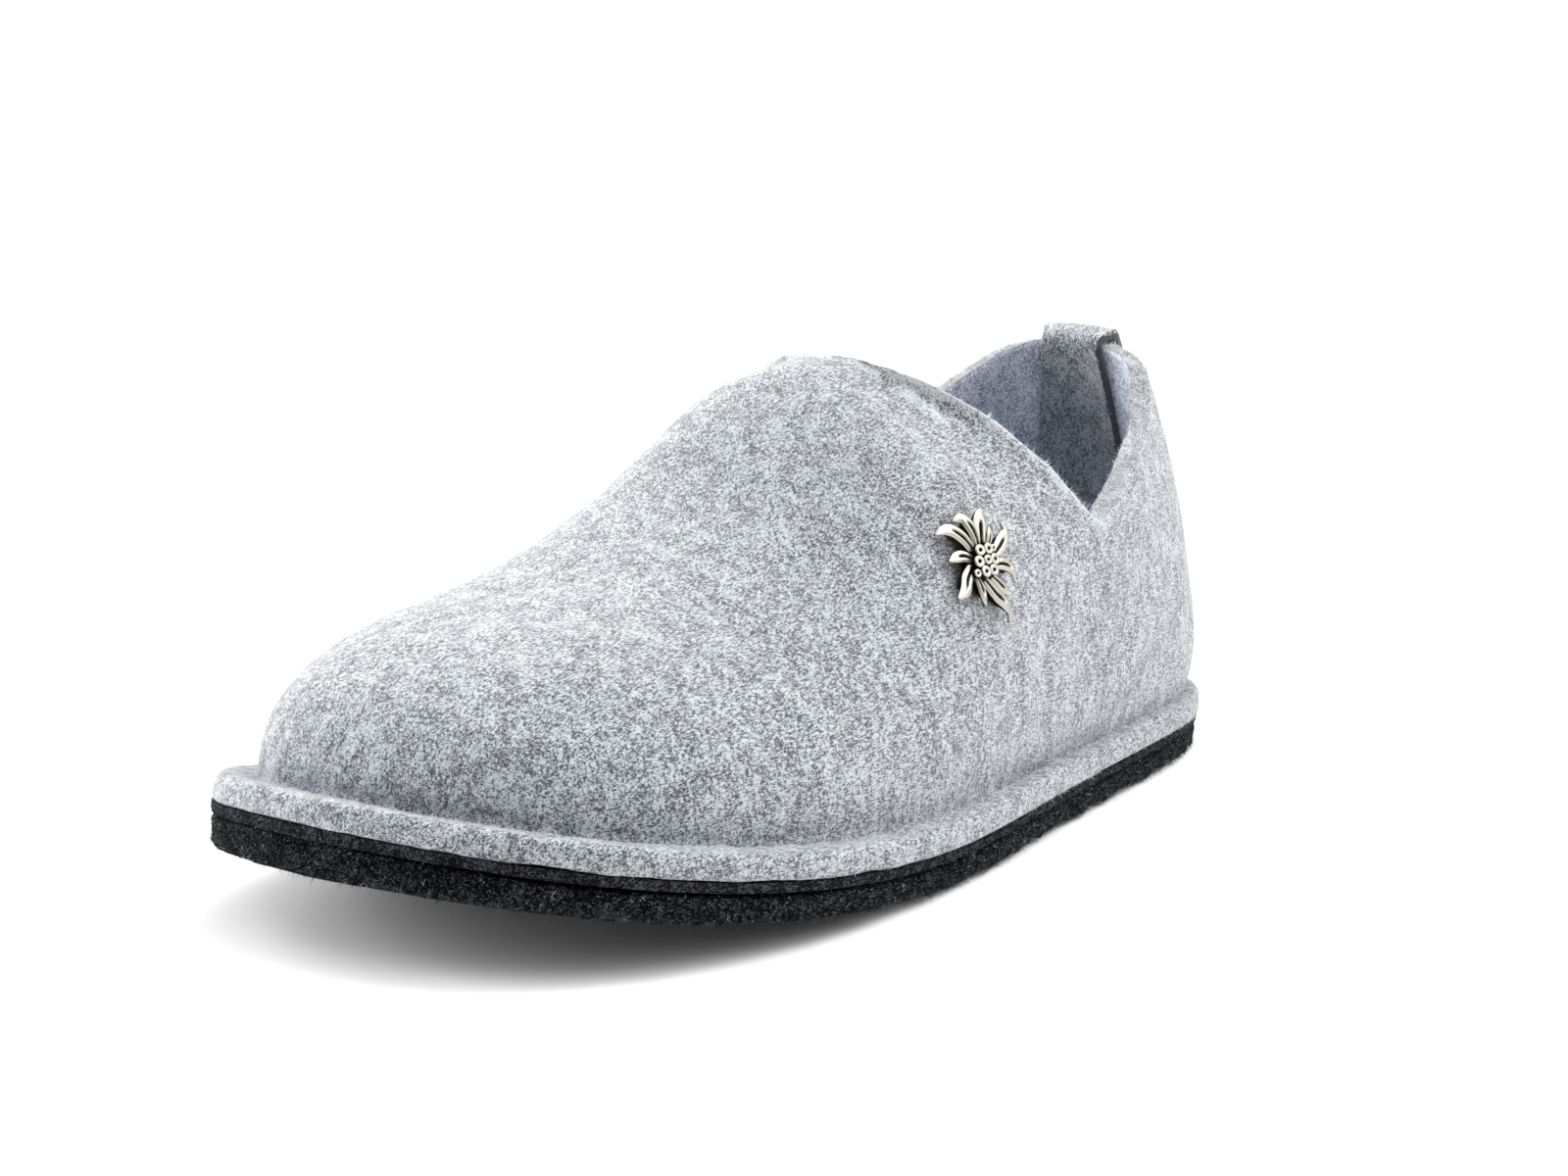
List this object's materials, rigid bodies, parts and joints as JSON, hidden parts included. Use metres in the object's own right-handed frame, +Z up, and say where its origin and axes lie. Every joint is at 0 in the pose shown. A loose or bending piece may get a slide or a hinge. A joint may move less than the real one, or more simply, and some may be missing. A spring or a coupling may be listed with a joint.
{
  "type": "house slipper",
  "caption": "Moulded felt house slipper for the left foot with a turned-out welt, a low V-shaped collar opening on each side, a layered felt sole and a small cast flower.",
  "frame": {"origin": "centre of the overall footprint, on the underside of the sole", "axes": "+Z up; -Y from the heel to the toe; +X towards the outer side of the left foot"},
  "size_m": [0.1057, 0.2698, 0.0896],
  "materials": {
    "pale_felt": "mottled pale grey moulded felt with a soft nap",
    "strip_felt": "pale grey felt, cut edges",
    "insole_felt": "grey felt footbed",
    "mid_felt": "thin pressed grey felt, smooth cut edge",
    "dark_felt": "anthracite felt with pale stray fibres",
    "antique_silver": "antique silver casting, dark in its grooves"
  },
  "bodies": {
    "root": {"upper": "pale_felt", "heel_strip": "strip_felt", "insole": "insole_felt", "midsole": "mid_felt", "outsole": "dark_felt", "edelweiss": "antique_silver"}
  },
  "joints": []
}
